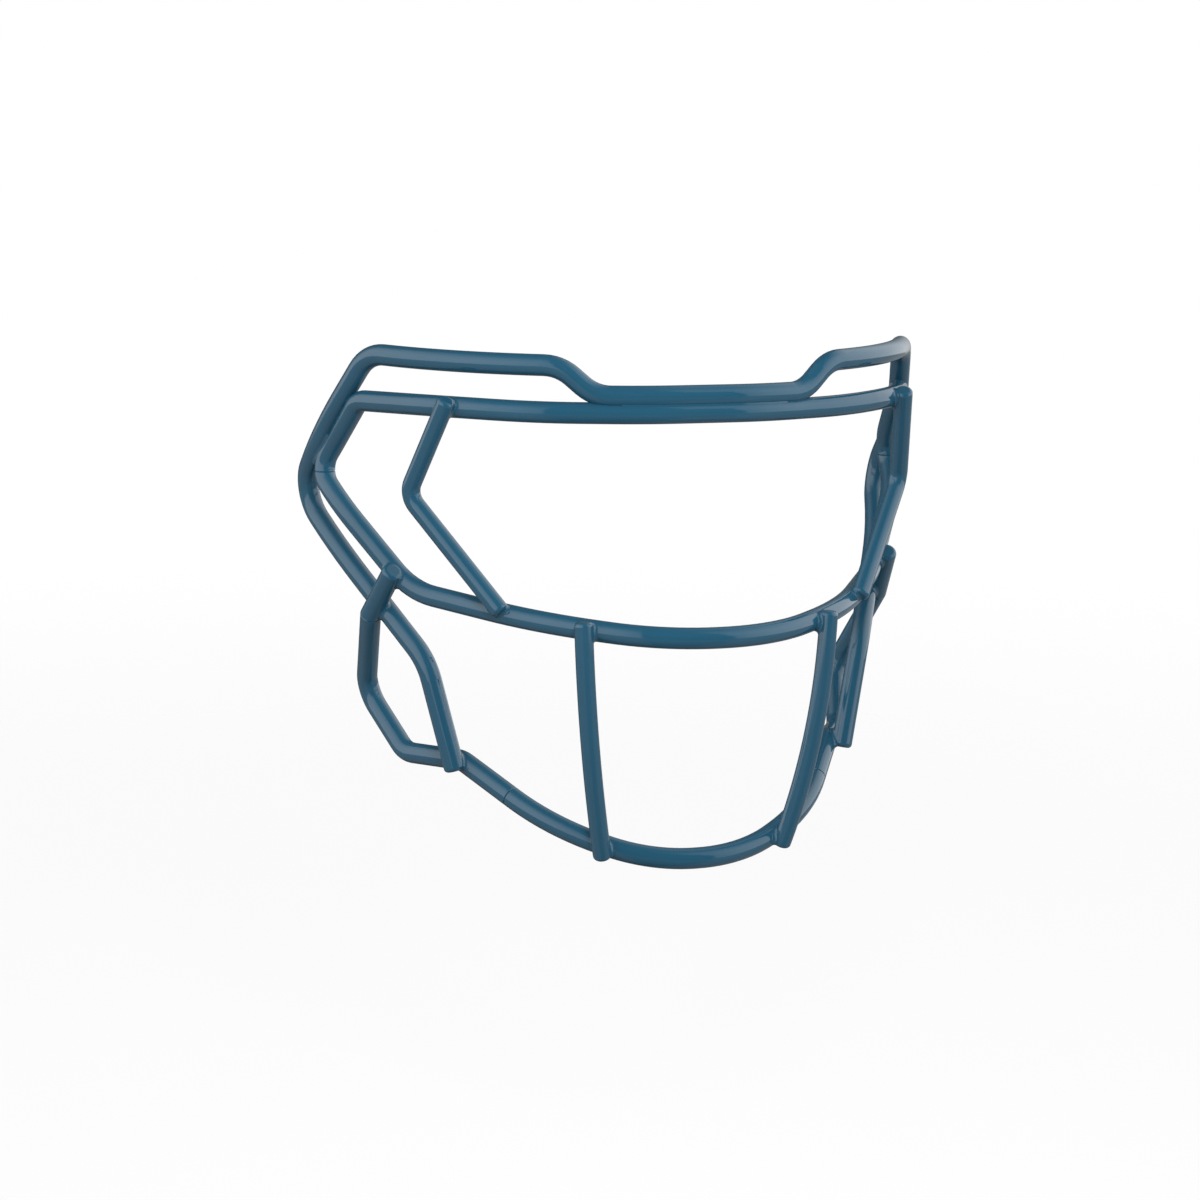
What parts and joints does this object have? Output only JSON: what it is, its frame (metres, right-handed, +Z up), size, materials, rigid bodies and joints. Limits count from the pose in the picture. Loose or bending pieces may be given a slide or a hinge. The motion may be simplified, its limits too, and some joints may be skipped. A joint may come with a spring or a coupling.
{
  "type": "football helmet face mask",
  "caption": "Open cage face mask of bent, welded and coated steel wire that clips to the front of a football helmet.",
  "frame": {"origin": "centre of the mask's box, on its mirror plane", "axes": "+X to the wearer's left, -Y straight ahead, +Z up with the brow wire level"},
  "size_m": [0.2194, 0.1223, 0.169],
  "materials": {
    "coated_wire": "glossy slate blue powder coat",
    "coated_weld": "glossy slate blue powder coat over the weld"
  },
  "bodies": {
    "root": {"brow_weld": "coated_weld", "brow_wire": "coated_wire", "chin_wire": "coated_wire", "left_front_bar": "coated_wire", "left_front_bar_lower_weld": "coated_weld", "left_front_bar_upper_weld": "coated_weld", "left_hook_eye_weld": "coated_weld", "left_hook_outer_weld": "coated_weld", "left_jaw_hook": "coated_wire", "left_jaw_wire": "coated_wire", "left_outer_end_weld": "coated_weld", "left_side_bar": "coated_wire", "left_side_bar_lower_weld": "coated_weld", "left_side_bar_upper_weld": "coated_weld", "left_temple_weld": "coated_weld", "nose_wire": "coated_wire", "outer_wire": "coated_wire", "right_front_bar": "coated_wire", "right_front_bar_lower_weld": "coated_weld", "right_front_bar_upper_weld": "coated_weld", "right_hook_eye_weld": "coated_weld", "right_hook_outer_weld": "coated_weld", "right_jaw_hook": "coated_wire", "right_jaw_wire": "coated_wire", "right_outer_end_weld": "coated_weld", "right_side_bar": "coated_wire", "right_side_bar_lower_weld": "coated_weld", "right_side_bar_upper_weld": "coated_weld", "right_temple_weld": "coated_weld"}
  },
  "joints": []
}
